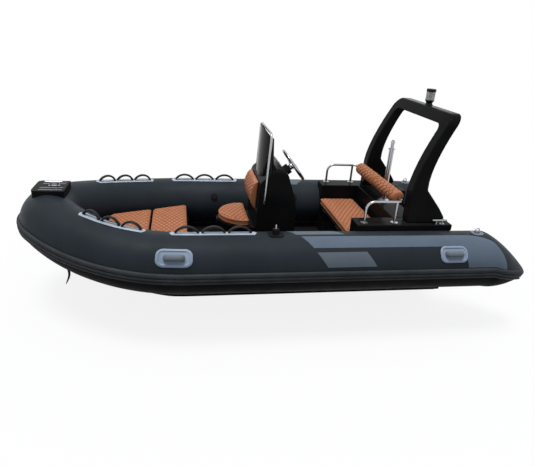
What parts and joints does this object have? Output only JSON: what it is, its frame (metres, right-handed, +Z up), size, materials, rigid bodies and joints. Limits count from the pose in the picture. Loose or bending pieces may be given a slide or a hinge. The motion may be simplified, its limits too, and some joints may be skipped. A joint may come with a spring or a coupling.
{
  "type": "rigid inflatable boat",
  "caption": "Open rigid inflatable boat: deep-V glass fibre hull inside air tubes, with a helm console, hinged cushioned lockers, a stern bench and a light arch.",
  "frame": {"origin": "on the waterline, on the centreline, amidships", "axes": "+X to the bow, +Y to port, +Z up"},
  "size_m": [4.8036, 2.1896, 2.169],
  "materials": {
    "gelcoat": "gloss gelcoat",
    "sole": "non-slip",
    "tube_fabric": "satin coated fabric",
    "strake": "ribbed",
    "trim_rubber": "satin",
    "pad_fabric": "coated fabric",
    "grip_rubber": "satin",
    "cushion": "quilted",
    "stainless": "polished",
    "smoked_screen": "smoked",
    "lens": "clear",
    "control_plastic": "moulded",
    "webbing": "woven"
  },
  "bodies": {
    "boat": {"hull": "gelcoat", "cockpit_sole": "sole", "transom": "gelcoat", "tube_port": "tube_fabric", "tube_starboard": "tube_fabric", "rub_strake": "strake", "bow_step": "gelcoat", "bow_cleat": "stainless", "bow_eye": "stainless", "bow_strap": "webbing", "bow_locker": "gelcoat", "bow_cushion_fwd": "cushion", "seat_base": "gelcoat", "console": "gelcoat", "backrest_pad": "cushion", "windscreen": "smoked_screen", "windscreen_rail": "stainless", "helm": "control_plastic", "throttle": "control_plastic", "dash_gauges": "control_plastic", "bench_base": "gelcoat", "bench_latches": "stainless", "side_deck_port": "gelcoat", "side_deck_starboard": "gelcoat", "stern_deck": "gelcoat", "backrest_rail": "stainless", "bolsters": "cushion", "arch": "gelcoat", "nav_light": "control_plastic", "nav_lens": "lens", "tow_post": "stainless", "handle_pads": "pad_fabric", "grab_loops": "trim_rubber", "carry_handles": "grip_rubber", "oarlocks": "trim_rubber", "stern_patches": "grip_rubber", "stern_cleats": "stainless", "valves": "trim_rubber"},
    "steering_wheel": {"steering_wheel": "control_plastic"},
    "bow_hatch": {"bow_lid": "gelcoat", "bow_cushion_aft": "cushion"},
    "seat_hatch": {"seat_lid": "gelcoat", "seat_cushion": "cushion"},
    "bench_hatch": {"bench_lid": "gelcoat", "bench_cushion": "cushion"}
  },
  "joints": [
    {"name": "steering_turn", "type": "hinge", "parent": "boat", "child": "steering_wheel", "pos_m": [-0.214, 0, 1.17], "axis": [-0.788, 0, 0.6157], "range_deg": [-630, 630]},
    {"name": "bow_lid_hinge", "type": "hinge", "parent": "boat", "child": "bow_hatch", "pos_m": [0.8265, 0, 0.48], "axis": [0, -1, 0], "range_deg": [0, 85]},
    {"name": "seat_lid_hinge", "type": "hinge", "parent": "boat", "child": "seat_hatch", "pos_m": [0.5405, 0, 0.5983], "axis": [0, 1, 0], "range_deg": [0, 95]},
    {"name": "bench_lid_hinge", "type": "hinge", "parent": "boat", "child": "bench_hatch", "pos_m": [-0.6735, 0, 0.5763], "axis": [0, 1, 0], "range_deg": [0, 95]}
  ]
}
